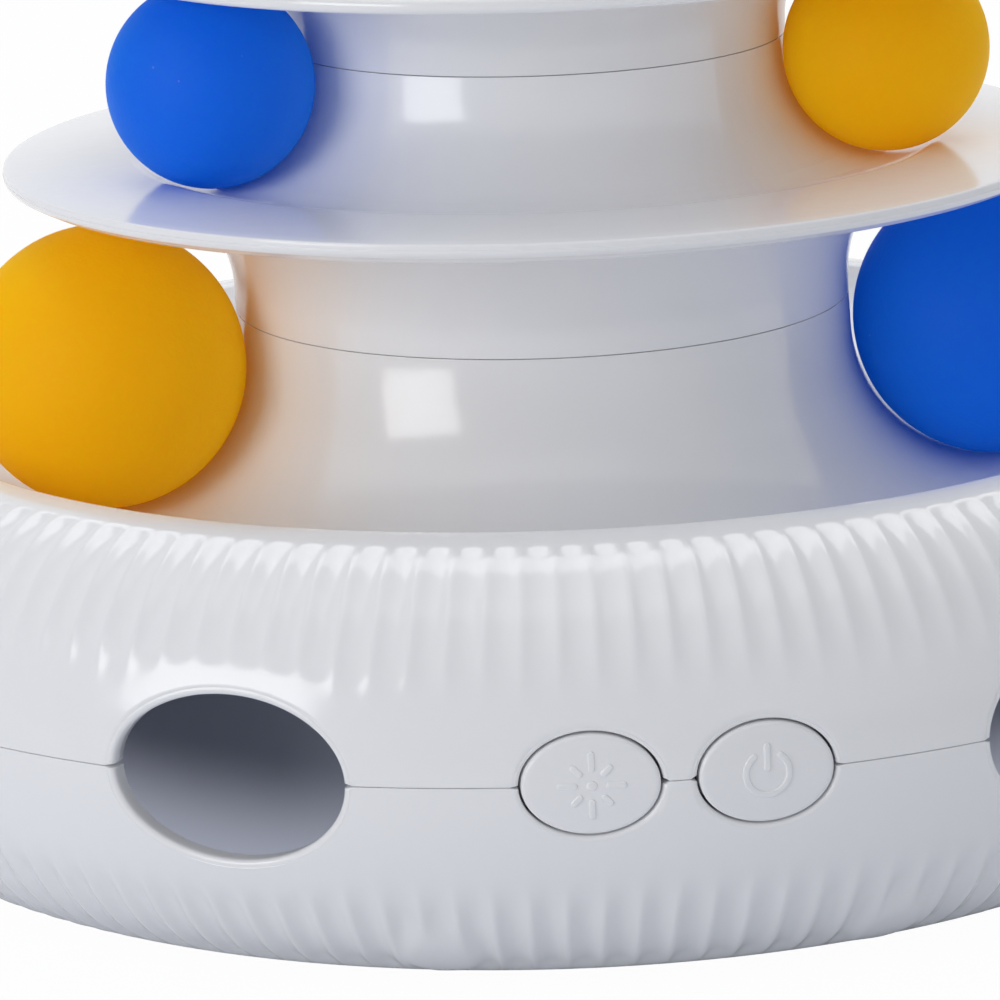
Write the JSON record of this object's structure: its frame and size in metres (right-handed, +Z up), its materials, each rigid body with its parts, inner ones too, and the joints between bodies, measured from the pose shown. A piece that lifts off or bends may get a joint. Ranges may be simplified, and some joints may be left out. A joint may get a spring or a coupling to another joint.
{
  "type": "cat ball track toy",
  "caption": "Round cat toy: a ribbed electric base with oval paw holes, push buttons and a turning lure, under stacked open ball tracks with captive balls.",
  "frame": {"origin": "on the table under the middle of the toy, at the bottom of its feet", "axes": "+Z up, the two buttons face -Y, +X to the right when facing the buttons"},
  "size_m": [0.2286, 0.2314, 0.1391],
  "materials": {
    "shell_plastic": "glossy cool white, moulded",
    "foot_rubber": "matt grey rubber",
    "screw_steel": "plated steel",
    "door_plastic": "glossy white",
    "cell_sleeve": "plain printed sleeve",
    "contact_steel": "nickel plated spring steel",
    "board_laminate": "green laminate",
    "component_black": "moulded black",
    "led_resin": "clear resin",
    "ribbon_grey": "flat grey ribbon",
    "motor_steel": "plated steel",
    "axle_steel": "ground steel",
    "washer_brass": "turned brass",
    "carousel_plastic": "smoke grey, glossy",
    "lure_plush": "orange plush",
    "pinion_plastic": "natural acetal",
    "button_plastic": "glossy cool white",
    "ball_yellow": "matt yellow, soft to the touch",
    "ball_blue": "matt blue, soft to the touch"
  },
  "bodies": {
    "tower": {"base_lower_shell": "shell_plastic", "base_upper_shell": "shell_plastic", "middle_tier": "shell_plastic", "top_tier": "shell_plastic", "top_cap": "shell_plastic", "rubber_feet": "foot_rubber", "shell_screws": "screw_steel", "battery_door": "door_plastic", "battery_door_screw": "screw_steel", "battery_cells": "cell_sleeve", "battery_springs": "contact_steel", "contact_plates": "contact_steel", "main_circuit_board": "board_laminate", "board_components": "component_black", "board_screws": "screw_steel", "button_board": "board_laminate", "tact_switches": "component_black", "indicator_leds": "led_resin", "signal_ribbon": "ribbon_grey", "gear_motor": "motor_steel", "motor_screws": "screw_steel", "carousel_axle": "axle_steel", "thrust_washer": "washer_brass", "retaining_washer": "washer_brass", "axle_clip": "axle_steel"},
    "carousel": {"carousel": "carousel_plastic", "lure_clip": "carousel_plastic", "plush_lure": "lure_plush"},
    "pinion": {"drive_pinion": "pinion_plastic", "output_shaft": "axle_steel"},
    "light_button": {"light_button": "button_plastic", "light_switch_plunger": "component_black"},
    "power_button": {"power_button": "button_plastic", "power_switch_plunger": "component_black"},
    "lower_yellow_ball": {"lower_yellow_ball": "ball_yellow"},
    "lower_blue_ball": {"lower_blue_ball": "ball_blue"},
    "upper_blue_ball": {"upper_blue_ball": "ball_blue"},
    "upper_yellow_ball": {"upper_yellow_ball": "ball_yellow"}
  },
  "joints": [
    {"name": "carousel_spin", "type": "hinge", "parent": "tower", "child": "carousel", "pos_m": [0, 0, 0.03], "axis": [0, 0, 1], "continuous": true},
    {"name": "pinion_spin", "type": "hinge", "parent": "tower", "child": "pinion", "pos_m": [0, -0.045, 0.036], "axis": [0, 0, 1], "continuous": true},
    {"name": "light_press", "type": "slide", "parent": "tower", "child": "light_button", "axis": [0, 1, 0], "range_m": [0, 0.0008], "stiffness_N_per_m": 600},
    {"name": "power_press", "type": "slide", "parent": "tower", "child": "power_button", "axis": [0, 1, 0], "range_m": [0, 0.0008], "stiffness_N_per_m": 600},
    {"name": "lower_yellow_roll", "type": "hinge", "parent": "tower", "child": "lower_yellow_ball", "pos_m": [0, 0, 0.07], "axis": [0, 0, 1], "range_deg": [-161.4, 124.4]},
    {"name": "lower_blue_roll", "type": "hinge", "parent": "tower", "child": "lower_blue_ball", "pos_m": [0, 0, 0.07], "axis": [0, 0, 1], "range_deg": [-124.4, 161.4]},
    {"name": "upper_blue_roll", "type": "hinge", "parent": "tower", "child": "upper_blue_ball", "pos_m": [0, 0, 0.1115], "axis": [0, 0, 1], "range_deg": [-188.2, 103.6]},
    {"name": "upper_yellow_roll", "type": "hinge", "parent": "tower", "child": "upper_yellow_ball", "pos_m": [0, 0, 0.1115], "axis": [0, 0, 1], "range_deg": [-103.6, 188.2]}
  ],
  "couplings": [
    {"joint": "pinion_spin", "follows": "carousel_spin", "ratio": -4}
  ]
}
